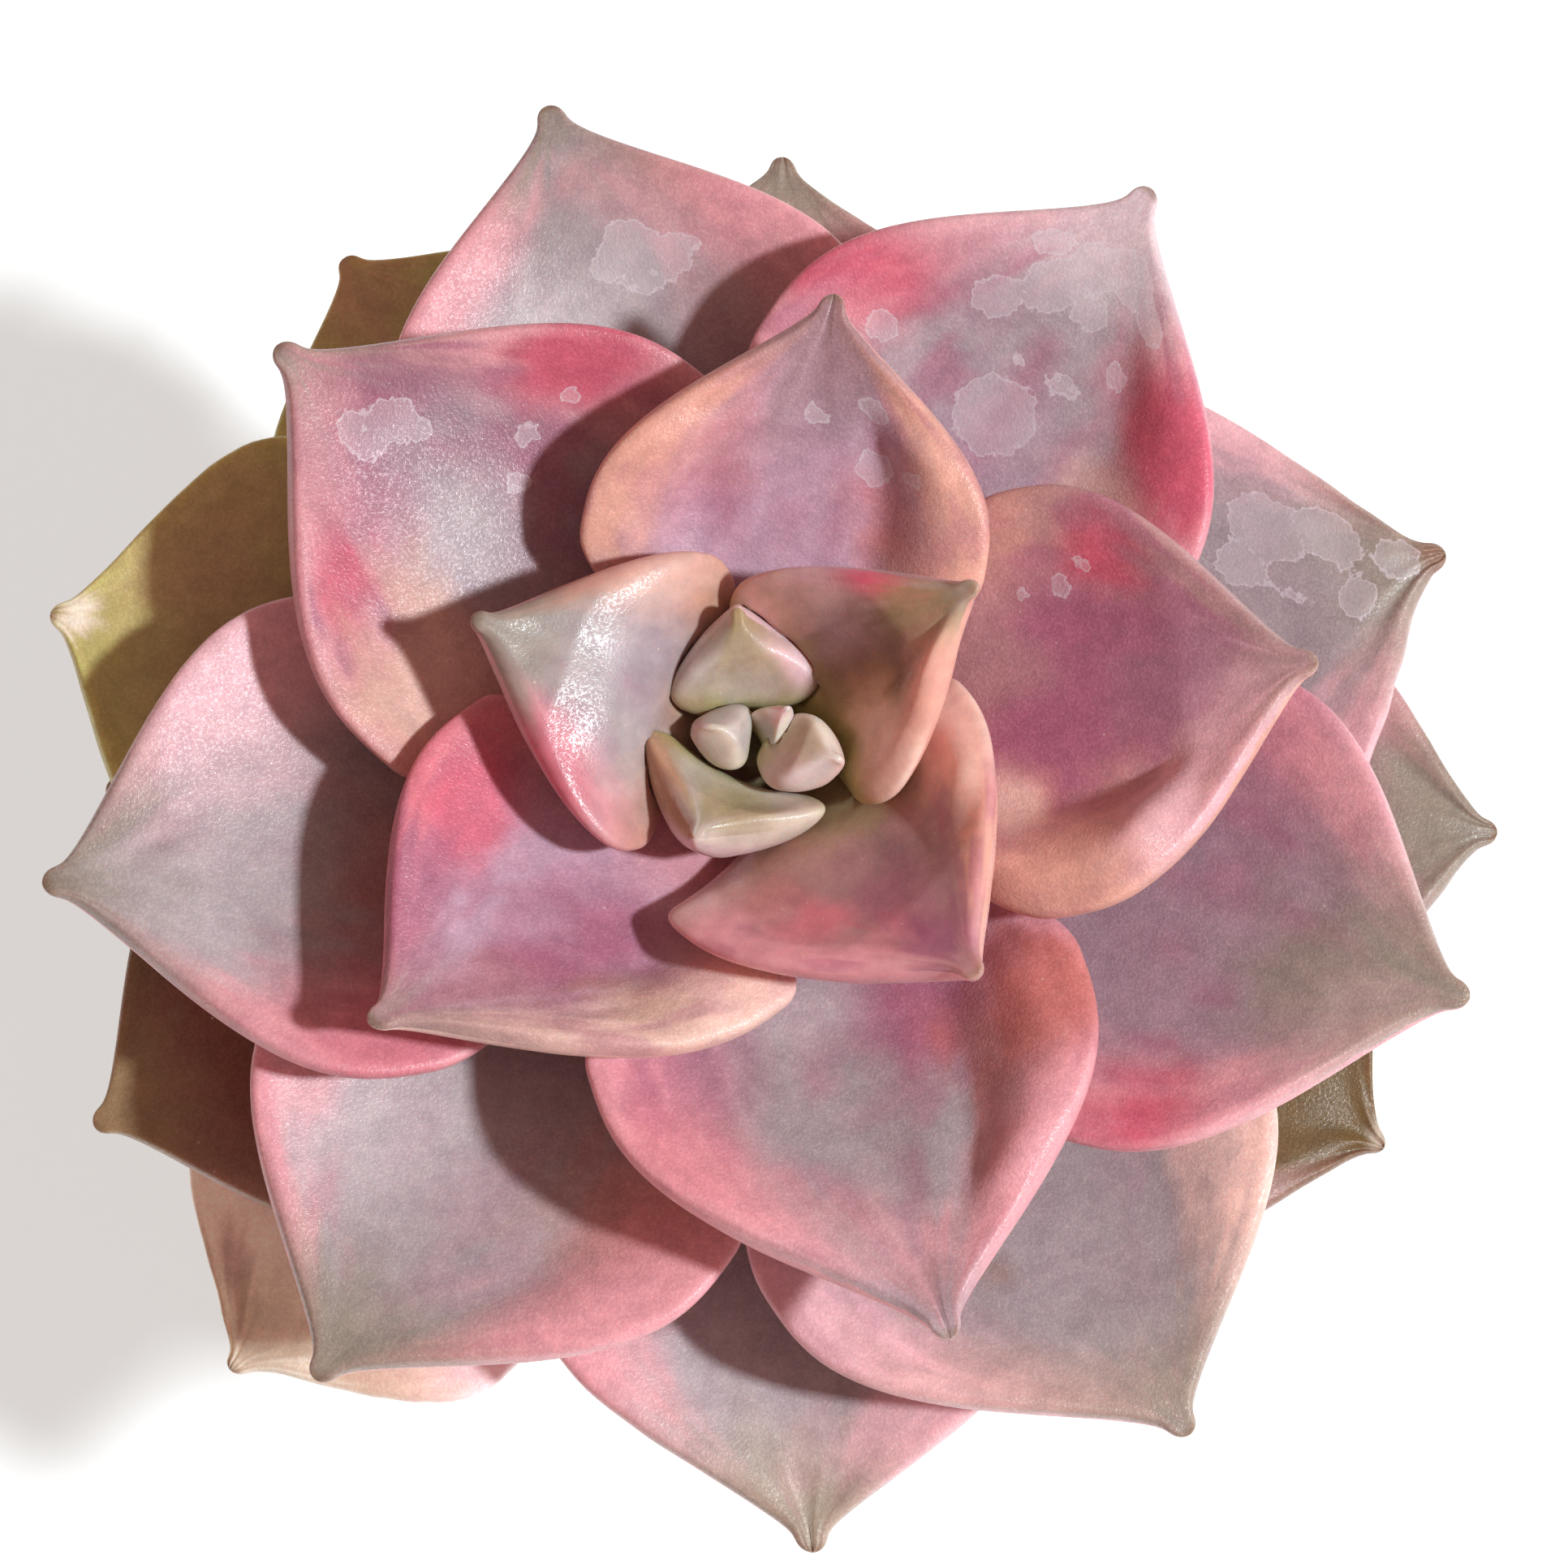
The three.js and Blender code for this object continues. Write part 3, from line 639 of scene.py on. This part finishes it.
def leafPiece(index, row, younger, material):
    form = LeafForm(index, row)
    seed = leafMesh["seedStep"] * index
    bm = bmesh.new()
    around, along = leafMesh["budSegments" if index < blade["budCount"] else "segments"]
    bmesh.ops.create_uvsphere(bm, u_segments=around, v_segments=along, radius=1)
    places = []
    drops = {}
    for vert in bm.verts:
        along = (1 - clamp(vert.co.z, -1, 1)) / 2
        around = math.atan2(vert.co.y, vert.co.x)
        key = (round(along, 4), round(math.cos(around), 3))
        point = form.pointAt(along, around)
        up = form.upAt(along)
        places.append((along, around, key, point, up))
        if around > 0:
            drops[key] = dropUnder(younger, point, up)
    tints = []
    spots = []
    for vert, (along, around, key, point, up) in zip(bm.verts, places):
        drop = drops.get(key, 0)
        if around <= 0:
            drop = max(drop - form.thickness, 0)
        across = acrossAt(around)
        ridge, ragged = form.wrinkleAt(along, across, seed)
        wave = waveAt(point, seed) * clamp(form.width / leafMesh["fullWaveWidth"], leafMesh["leastWave"])
        vert.co = (point + up * (wave + ridge - drop) + form.sideward() * ragged) * mm
        over = around > leafMesh["upperFrom"]
        tints.append(tintAt(row, form, along, across, over, seed))
        spots.append(form.spotAt(row, along, across) if over else leafMesh["noSpot"])
    bmesh.ops.recalc_face_normals(bm, faces=bm.faces)
    scaled = bm.copy()
    bmesh.ops.scale(scaled, vec=(1 / mm, 1 / mm, 1 / mm), verts=scaled.verts)
    low = [min(v.co[i] for v in scaled.verts) for i in range(3)]
    high = [max(v.co[i] for v in scaled.verts) for i in range(3)]
    younger.append((BVHTree.FromBMesh(scaled), low, high))
    scaled.free()
    node = "leaf_%02d" % index
    mesh = asPiece(bm, node + "_skin", material, node).data
    tint = mesh.color_attributes.new(name="tint", type="FLOAT_COLOR", domain="POINT")
    tint.data.foreach_set("color", [value for color in tints for value in (*color, 1)])
    spot = mesh.attributes.new(name="spot", type="FLOAT", domain="POINT")
    spot.data.foreach_set("value", spots)


class Shader:
    # A material's nodes, added and joined a line at a time
    def __init__(self, name):
        self.material = bpy.data.materials.new(name)
        self.material.use_nodes = True
        self.tree = self.material.node_tree
        self.surface = self.tree.nodes["Principled BSDF"]
        self.place = self.add("ShaderNodeTexCoord", {}).outputs["Object"]

    def add(self, kind, inputs, **settings):
        node = self.tree.nodes.new(kind)
        for name, value in settings.items():
            setattr(node, name, value)
        for name, value in inputs.items():
            self.feed(node.inputs[name], value)
        return node

    def feed(self, socket, value):
        if hasattr(value, "is_linked"):
            self.tree.links.new(value, socket)
        else:
            socket.default_value = value

    def set(self, name, value):
        self.feed(self.surface.inputs[name], value)

    def attribute(self, name, output):
        return self.add("ShaderNodeAttribute", {}, attribute_name=name).outputs[output]

    def noise(self, scale, detail, roughness):
        inputs = {"Vector": self.place, "Scale": scale, "Detail": detail, "Roughness": roughness}
        return self.add("ShaderNodeTexNoise", inputs).outputs["Fac"]

    def cells(self, scale):
        return self.add("ShaderNodeTexVoronoi", {"Vector": self.place, "Scale": scale}).outputs["Distance"]

    def ramp(self, value, low, high, outLow=0.0, outHigh=1.0):
        inputs = {"Value": value, "From Min": low, "From Max": high, "To Min": outLow, "To Max": outHigh}
        return self.add("ShaderNodeMapRange", inputs, interpolation_type="SMOOTHSTEP").outputs["Result"]

    def math(self, operation, *values):
        return self.add("ShaderNodeMath", dict(enumerate(values)), operation=operation).outputs[0]

    def mix(self, share, a, b, blend="MIX"):
        inputs = {0: share, 6: a, 7: b}
        return self.add("ShaderNodeMix", inputs, data_type="RGBA", blend_type=blend).outputs[2]

    def bump(self, height, distance, strength):
        inputs = {"Height": height, "Distance": distance, "Strength": strength}
        self.set("Normal", self.add("ShaderNodeBump", inputs).outputs["Normal"])


def opaque(tone):
    return (*linear(tone), 1)


# The leaves' waxy skin: noises as (scale, detail, roughness), fades as (from, to) or (from, to, low, high)
leafSkin = {
    "mottle": (620, 3, 0.65),
    "mottleFade": (0.3, 0.7),
    "mottleTones": ((0.9, 0.88, 0.9, 1), (1.07, 1.06, 1.06, 1)),
    "grain": (4200, 2, 0.8),
    "grainStrength": 0.9,
    "bloomFade": (0.42, 0.72),
    "bloomTone": (1.2, 1.27, 1.27, 1),
    "bloomChalk": 0.07,
    "glintDotScale": 800,
    "glintDotFade": (0.1, 0.04),
    "glintDotPatches": (0.52, 0.62, 0, 0.5),
    "spotNoise": (1100, 2, 0.6),
    "spotRagged": 1.2,
    "spotRim": (0.13, 0.02, 0, 0.5),
    "spotInside": (0.05, -0.1, 0, 0.24),
    "roughFade": (0.4, 0.66),
    "roughest": 0.48,
    "specular": 0.4,
    "subsurfaceRadius": (1.0, 0.38, 0.25),
    "subsurfaceReach": 0.0024,
    "sheen": 0.06,
    "sheenRoughness": 0.4,
    "old": dict(subsurface=0.25, bloom=0.9, smoothest=0.26, grainBump=0.00006),
    "young": dict(subsurface=0.5, bloom=0.35, smoothest=0.17, grainBump=0.000025),
}


def leafMaterial(name, age):
    look = {**leafSkin, **leafSkin[age]}
    skin = Shader(name)
    tint = skin.attribute("tint", "Color")
    mottle = skin.noise(*look["mottle"])
    grain = skin.noise(*look["grain"])
    shade = skin.mix(skin.ramp(mottle, *look["mottleFade"]), *look["mottleTones"])
    base = skin.mix(1.0, tint, shade, "MULTIPLY")
    # a waxy bloom of pale grains, and here and there a cream dot, which is a painted glint
    bloom = skin.math("MULTIPLY", skin.ramp(grain, *look["bloomFade"]), look["bloom"])
    wax = skin.mix(1.0, base, look["bloomTone"], "MULTIPLY")
    base = skin.mix(bloom, base, skin.mix(look["bloomChalk"], wax, opaque("blush")))
    dot = skin.ramp(skin.cells(look["glintDotScale"]), *look["glintDotFade"])
    dot = skin.math("MULTIPLY", dot, skin.ramp(mottle, *look["glintDotPatches"]))
    base = skin.mix(dot, base, opaque("cream"))
    # dried drops: a chalky rim with a fainter inside
    ragged = skin.math("MULTIPLY_ADD", skin.noise(*look["spotNoise"]), look["spotRagged"],
                       -look["spotRagged"] / 2)
    fromRim = skin.math("ADD", skin.attribute("spot", "Fac"), ragged)
    rim = skin.ramp(skin.math("ABSOLUTE", fromRim), *look["spotRim"])
    inside = skin.ramp(fromRim, *look["spotInside"])
    base = skin.mix(skin.math("MAXIMUM", rim, inside), base, opaque("dried"))
    skin.set("Base Color", base)
    skin.set("Roughness", skin.ramp(grain, *look["roughFade"], look["roughest"], look["smoothest"]))
    skin.set("Specular IOR Level", look["specular"])
    skin.set("Subsurface Weight", look["subsurface"])
    skin.set("Subsurface Radius", look["subsurfaceRadius"])
    skin.set("Subsurface Scale", look["subsurfaceReach"])
    skin.set("Sheen Weight", look["sheen"])
    skin.set("Sheen Roughness", look["sheenRoughness"])
    skin.bump(grain, look["grainBump"], look["grainStrength"])
    return skin.material


# A plain finish: patches of two tones, grains of a third, and bumps that follow one of the two noises
def plainMaterial(name, look):
    plain = Shader(name)
    noises = {kind: plain.noise(*look[kind]) for kind in ("patch", "grain") if kind in look}
    tone = plain.mix(plain.ramp(noises["patch"], *look["patchFade"]), *look["patchTones"])
    if "grain" in look:
        tone = plain.mix(plain.ramp(noises["grain"], *look["grainFade"]), tone, look["grainTone"])
    roughness = look["roughness"]
    if isinstance(roughness, tuple):
        roughness = plain.ramp(noises["patch"], *look["patchFade"], *roughness)
    plain.set("Base Color", tone)
    plain.set("Roughness", roughness)
    kind, distance, strength = look["bumps"]
    plain.bump(noises[kind], distance, strength)
    return plain.material


skins = {"young": leafMaterial("young_leaf_skin", "young"), "old": leafMaterial("leaf_skin", "old")}
younger = []
for index, row in enumerate(leaves):
    leafPiece(index, row, younger, skins["young" if index < blade["youngCount"] else "old"])
print("leaves made:", len(leaves))


# The pot: the same profile as the model's, finer and with rounder edges
pot = {
    "height": 60,
    "rimRadius": 36,
    "footRadius": 24.5,
    "wall": 3.6,
    "floor": 4.5,
    "edge": 1,
    "collarHeight": 15,
    "collarStep": 2.2,
    "innerCorner": 3,
    "underCollarRound": 0.6,
    "collarRound": 0.9,
    "rimRound": 1.3,
    "wallRound": 2,
    "floorRound": 1,
    "drainHoles": 3,
    "drainRadius": 2.6,
    "drainCircle": 10.5,
    "drillLength": 20,
    "drillSides": 40,
    "sides": 128,
    "longestStep": 2.5,
    "wornFrom": 20,
    "wear": 0.12,
    "wearScale": 60,
    "clay": {
        "patch": (45, 4, 0.6),
        "patchFade": (0.3, 0.7),
        "patchTones": ((0.36, 0.13, 0.065, 1), (0.5, 0.21, 0.12, 1)),
        "grain": (1500, 3, 0.7),
        "grainFade": (0.6, 0.8, 0, 0.35),
        "grainTone": (0.7, 0.42, 0.3, 1),
        "roughness": (0.9, 0.75),
        "bumps": ("grain", 0.00015, 0.6),
    },
}
innerFoot = pot["footRadius"] - pot["wall"] + pot["edge"]
innerRim = pot["rimRadius"] - pot["wall"]


# A closed outline of (radius, height) in millimetres, spun round the vertical axis
def spun(outline, sides):
    bm = bmesh.new()
    verts = [bm.verts.new((radius * mm, 0, height * mm)) for radius, height in outline]
    edges = [bm.edges.new((a, b)) for a, b in zip(verts, verts[1:])]
    bmesh.ops.spin(bm, geom=verts + edges, cent=(0, 0, 0), axis=(0, 0, 1), dvec=(0, 0, 0),
                   angle=2 * math.pi, steps=sides, use_merge=True)
    bmesh.ops.remove_doubles(bm, verts=bm.verts, dist=1e-6)
    bmesh.ops.recalc_face_normals(bm, faces=bm.faces)
    return bm


# Corners are (radius, height, how far the rounding reaches), and the first and last stay sharp
def roundedOutline(corners, steps=4):
    outline = [corners[0][:2]]
    for before, here, after in zip(corners, corners[1:], corners[2:]):
        corner = Vector(here[:2])
        start = corner + (Vector(before[:2]) - corner).normalized() * here[2]
        end = corner + (Vector(after[:2]) - corner).normalized() * here[2]
        for t in (step / steps for step in range(steps + 1)):
            outline.append(tuple(start * (1 - t) ** 2 + corner * 2 * t * (1 - t) + end * t ** 2))
    outline.append(corners[-1][:2])
    return outline


def subdivided(outline, longest):
    points = [outline[0]]
    for a, b in zip(outline, outline[1:]):
        count = max(1, math.ceil(math.dist(a, b) / longest))
        points += [tuple(Vector(a).lerp(Vector(b), (i + 1) / count)) for i in range(count)]
    return points


def makePot():
    bodyTop = pot["height"] - pot["collarHeight"]
    outline = roundedOutline([
        (0, 0, 0),
        (pot["footRadius"], 0, pot["edge"]),
        (pot["rimRadius"] - pot["collarStep"] - pot["edge"], bodyTop, pot["underCollarRound"]),
        (pot["rimRadius"] - pot["edge"], bodyTop, pot["collarRound"]),
        (pot["rimRadius"], pot["height"], pot["rimRound"]),
        (innerRim, pot["height"], pot["rimRound"]),
        (innerFoot, pot["floor"] + pot["innerCorner"], pot["wallRound"]),
        (innerFoot - pot["innerCorner"], pot["floor"], pot["floorRound"]),
        (0, pot["floor"], 0),
    ])
    bm = spun(subdivided(outline, pot["longestStep"]), pot["sides"])
    piece = asPiece(bm, "pot_clay", plainMaterial("fired_clay", pot["clay"]), "pot")
    drills = bmesh.new()
    radius = pot["drainRadius"] * mm
    for i in range(pot["drainHoles"]):
        turn = 2 * math.pi * i / pot["drainHoles"]
        made = bmesh.ops.create_cone(drills, cap_ends=True, segments=pot["drillSides"],
                                     radius1=radius, radius2=radius, depth=pot["drillLength"] * mm)
        bmesh.ops.translate(drills, verts=made["verts"],
                            vec=Vector((math.cos(turn), math.sin(turn), 0)) * pot["drainCircle"] * mm)
    drillMesh = bpy.data.meshes.new("drills")
    drills.to_mesh(drillMesh)
    drills.free()
    drill = bpy.data.objects.new("drills", drillMesh)
    bpy.context.collection.objects.link(drill)
    cut = piece.modifiers.new("drain", "BOOLEAN")
    cut.object = drill
    cut.operation = "DIFFERENCE"
    cut.solver = "EXACT"
    bpy.context.view_layer.update()
    cutMesh = bpy.data.meshes.new_from_object(piece.evaluated_get(bpy.context.evaluated_depsgraph_get()))
    piece.modifiers.clear()
    piece.data = cutMesh
    cutMesh.name = "pot_clay"
    bpy.data.objects.remove(drill)
    # the walls are worn in a little, and unevenly
    for vert in cutMesh.vertices:
        out = Vector((vert.co.x, vert.co.y, 0))
        if out.length > pot["wornFrom"] * mm:
            wear = pot["wear"] * mm * (1 + noise.noise(vert.co * pot["wearScale"]))
            vert.co -= out.normalized() * wear
    print("pot made:", len(cutMesh.polygons), "faces")


makePot()

# Soil and its grit. Its waves are (along x, along y, phase, height)
soil = {
    "top": spiral["soilTop"],
    "mound": 1.6,
    "waves": ((0.55, 0.32, 1.3, 0.3), (-0.4, 0.7, 0.4, 0.3), (0.9, -0.8, 2.1, 0.2)),
    "sides": 144,
    "rings": 34,
    "edgeDepth": 0.6,
    "edgeWidth": 0.3,
    "crumbSize": 1.6,
    "crumbRough": (0.8, 2, 3),
    "crumbHeight": 0.5,
    "sunk": 0.1,
    "gritSeed": 7,
    "gritCount": 520,
    "gritMargin": 1.8,
    "gritSmallest": 0.5,
    "gritLargest": 1.5,
    "gritRarity": 2.5,
    "gritStretch": ((0.75, 1.25), (0.75, 1.25), (0.6, 0.9)),
    "gritRough": 0.5,
    "gritRoughScale": 1.3,
    "gritRaised": 0.15,
    "compost": {
        "patch": (500, 5, 0.7),
        "patchFade": (0.35, 0.7),
        "patchTones": ((0.018, 0.011, 0.007, 1), (0.1, 0.06, 0.035, 1)),
        "roughness": 0.95,
        "bumps": ("patch", 0.0008, 0.8),
    },
    "pumice": {
        "patch": (180, 2, 0.5),
        "patchFade": (0.35, 0.65),
        "patchTones": ((0.3, 0.22, 0.15, 1), (0.62, 0.57, 0.5, 1)),
        "grain": (2500, 3, 0.7),
        "grainFade": (0.5, 0.7, 0, 0.5),
        "grainTone": (0.12, 0.09, 0.07, 1),
        "roughness": 0.9,
        "bumps": ("grain", 0.0001, 0.7),
    },
}


def cavityRadiusAt(height):
    low = pot["floor"] + pot["innerCorner"]
    return innerFoot + (innerRim - innerFoot) * (height - low) / (pot["height"] - pot["edge"] - low)


def soilHeightAt(x, y):
    outward = min(math.hypot(x, y) / cavityRadiusAt(soil["top"]), 1)
    height = soil["mound"]
    for waveX, waveY, phase, size in soil["waves"]:
        height += size * math.sin(waveX * x + waveY * y + phase)
    return soil["top"] + height * (1 - outward * outward)


def makeSoil():
    gap = spiral["fitGap"]
    floor = pot["floor"] + gap
    foot = innerFoot - gap
    rim = cavityRadiusAt(soil["top"]) - gap
    edge = rim - soil["edgeWidth"]
    hole = spiral["stemRadius"] + gap
    bottom = spiral["stemBottom"] - gap
    outline = [(0, floor), (foot - pot["innerCorner"], floor), (foot, floor + pot["innerCorner"]),
               (rim, soil["top"] - soil["edgeDepth"])]
    for i in range(soil["rings"] + 1):
        outline.append((edge + (hole - edge) * i / soil["rings"], soil["top"]))
    outline += [(hole, bottom), (0, bottom)]
    bm = spun(outline, soil["sides"])
    for vert in bm.verts:
        x, y, z = (value / mm for value in vert.co)
        if z > soil["top"] - soil["sunk"]:
            crumb = noise.fractal(Vector((x, y, 0)) / soil["crumbSize"], *soil["crumbRough"])
            vert.co.z = (soilHeightAt(x, y) + soil["crumbHeight"] * crumb - soil["sunk"]) * mm
    bmesh.ops.recalc_face_normals(bm, faces=bm.faces)
    asPiece(bm, "soil_compost", plainMaterial("compost", soil["compost"]), "soil")


def makeGrit():
    draw = random.Random(soil["gritSeed"])
    bm = bmesh.new()
    rim = cavityRadiusAt(soil["top"]) - soil["gritMargin"]
    hole = spiral["stemRadius"] + soil["gritMargin"]
    larger = soil["gritLargest"] - soil["gritSmallest"]
    for i in range(soil["gritCount"]):
        radius = math.sqrt(draw.uniform(hole * hole, rim * rim))
        turn = draw.uniform(0, 2 * math.pi)
        x, y = radius * math.cos(turn), radius * math.sin(turn)
        size = soil["gritSmallest"] + larger * draw.random() ** soil["gritRarity"]
        made = bmesh.ops.create_icosphere(bm, subdivisions=1, radius=size)
        stretch = Vector([draw.uniform(*span) for span in soil["gritStretch"]])
        place = Vector((x, y, soilHeightAt(x, y) + size * soil["gritRaised"]))
        seed = Vector((i, 0, 0))
        for vert in made["verts"]:
            rough = 1 + soil["gritRough"] * noise.noise(vert.co / size * soil["gritRoughScale"] + seed)
            vert.co = vert.co * stretch * rough + place
    bmesh.ops.scale(bm, vec=(mm, mm, mm), verts=bm.verts)
    asPiece(bm, "soil_grit", plainMaterial("pumice_grit", soil["pumice"]), None, smooth=False)


makeSoil()
makeGrit()
print("soil made")


# Stem: its bark starts just under the soil, and the scars stand where leaves that have dropped once grew
stem = {
    "sides": 64,
    "rings": 120,
    "chamfer": 0.6,
    "ringsFrom": 28,
    "barkFrom": 50,
    "core": 0.5,
    "barkDepth": 0.12,
    "barkRough": 0.15,
    "barkScale": 1.8,
    "lastScar": 45,
    "scarWidth": 2.2,
    "scarHeight": 0.9,
    "scarEdge": (0.45, 1, 0.3),  # depth, place, width
    "scarMiddle": (-0.25, 0, 0.7),
    "bark": {
        "patch": (160, 4, 0.6),
        "patchFade": (0.35, 0.65),
        "patchTones": ((0.13, 0.1, 0.045, 1), (0.32, 0.26, 0.15, 1)),
        "grain": (1600, 3, 0.7),
        "grainFade": (0.55, 0.75, 0, 0.4),
        "grainTone": (0.45, 0.36, 0.25, 1),
        "roughness": 0.75,
        "bumps": ("patch", 0.0006, 0.6),
    },
}


def makeStem():
    radius, bottom, chamfer = spiral["stemRadius"], spiral["stemBottom"], stem["chamfer"]
    outline = [(0, bottom), (radius - chamfer, bottom), (radius, bottom + chamfer)]
    for i in range(stem["rings"] + 1):
        height = stem["ringsFrom"] + (spiral["stemTop"] - stem["ringsFrom"]) * i / stem["rings"]
        outline.append((stemRadiusAt(height), height))
    outline.append((0, spiral["stemTop"]))
    bm = spun(outline, stem["sides"])
    scars = []
    for index in range(len(leaves), stem["lastScar"] + 1):
        height = spiral["topJoint"] - spiral["jointStep"] * index
        scars.append((height, math.radians(spiral["firstTurn"] + spiral["goldenTurn"] * index)))
    for vert in bm.verts:
        x, y, z = (value / mm for value in vert.co)
        out = math.hypot(x, y)
        if out > stem["core"] and z > stem["barkFrom"]:
            turn = math.atan2(y, x)
            dent = stem["barkDepth"] + stem["barkRough"] * noise.noise(Vector((x, y, z)) / stem["barkScale"])
            for height, scarTurn in scars:
                off = (turn - scarTurn + math.pi) % (2 * math.pi) - math.pi
                reach = math.hypot(off * out / stem["scarWidth"], (z - height) / stem["scarHeight"])
                for depth, place, width in (stem["scarEdge"], stem["scarMiddle"]):
                    dent += depth * math.exp(-((reach - place) / width) ** 2)
            shrink = (out - max(dent, 0)) / out
            x, y = x * shrink, y * shrink
        lean = leanAt(z)
        vert.co = Vector((x + spiral["leanX"] * lean, y + spiral["leanY"] * lean, z)) * mm
    bmesh.ops.recalc_face_normals(bm, faces=bm.faces)
    asPiece(bm, "stem_bark", plainMaterial("stem_bark", stem["bark"]), "stem")


makeStem()
print("stem made")

# A pale floor, a key light from the right, and a soft fill all round
studio = {
    "floorTone": (0.86, 0.86, 0.86, 1),
    "floorRoughness": 0.8,
    "floorSize": 4,
    "worldTone": (1.0, 0.68, 0.57, 1),
    "worldStrength": 0.355,
    "floorGlow": 0.48,
    "floorGlowTone": (0.8, 0.95, 0.98, 1),
    "keyAzimuth": -12,
    "keyElevation": 47,
    "keyDistance": 0.95,
    "keySize": 0.07,
    "keyPower": 9.9,
    "keyTone": (0.9, 0.985, 1.0),
}


def makeFloor():
    bm = bmesh.new()
    bmesh.ops.create_grid(bm, x_segments=1, y_segments=1, size=studio["floorSize"])
    mesh = bpy.data.meshes.new("floor")
    bm.to_mesh(mesh)
    bm.free()
    floor = bpy.data.objects.new("floor", mesh)
    bpy.context.collection.objects.link(floor)
    paint = Shader("floor_paint")
    paint.set("Base Color", studio["floorTone"])
    paint.set("Roughness", studio["floorRoughness"])
    paint.set("Emission Color", studio["floorGlowTone"])
    paint.set("Emission Strength", studio["floorGlow"])
    mesh.materials.append(paint.material)


def makeLight():
    world = bpy.data.worlds.new("studio")
    bpy.context.scene.world = world
    world.use_nodes = True
    sky = world.node_tree.nodes["Background"]
    sky.inputs["Color"].default_value = studio["worldTone"]
    sky.inputs["Strength"].default_value = studio["worldStrength"]
    data = bpy.data.lights.new("key", "AREA")
    data.size = studio["keySize"]
    data.energy = studio["keyPower"]
    data.color = studio["keyTone"]
    key = bpy.data.objects.new("key", data)
    azimuth = math.radians(studio["keyAzimuth"])
    elevation = math.radians(studio["keyElevation"])
    toKey = Vector((math.cos(elevation) * math.cos(azimuth), math.cos(elevation) * math.sin(azimuth),
                    math.sin(elevation)))
    key.location = Vector(view["target"]) + toKey * studio["keyDistance"]
    key.rotation_euler = (-toKey).to_track_quat("-Z", "Y").to_euler()
    bpy.context.collection.objects.link(key)
    bpy.context.scene.view_settings.view_transform = "Standard"
    bpy.context.scene.view_settings.look = "None"


makeFloor()
makeLight()
print("studio made")
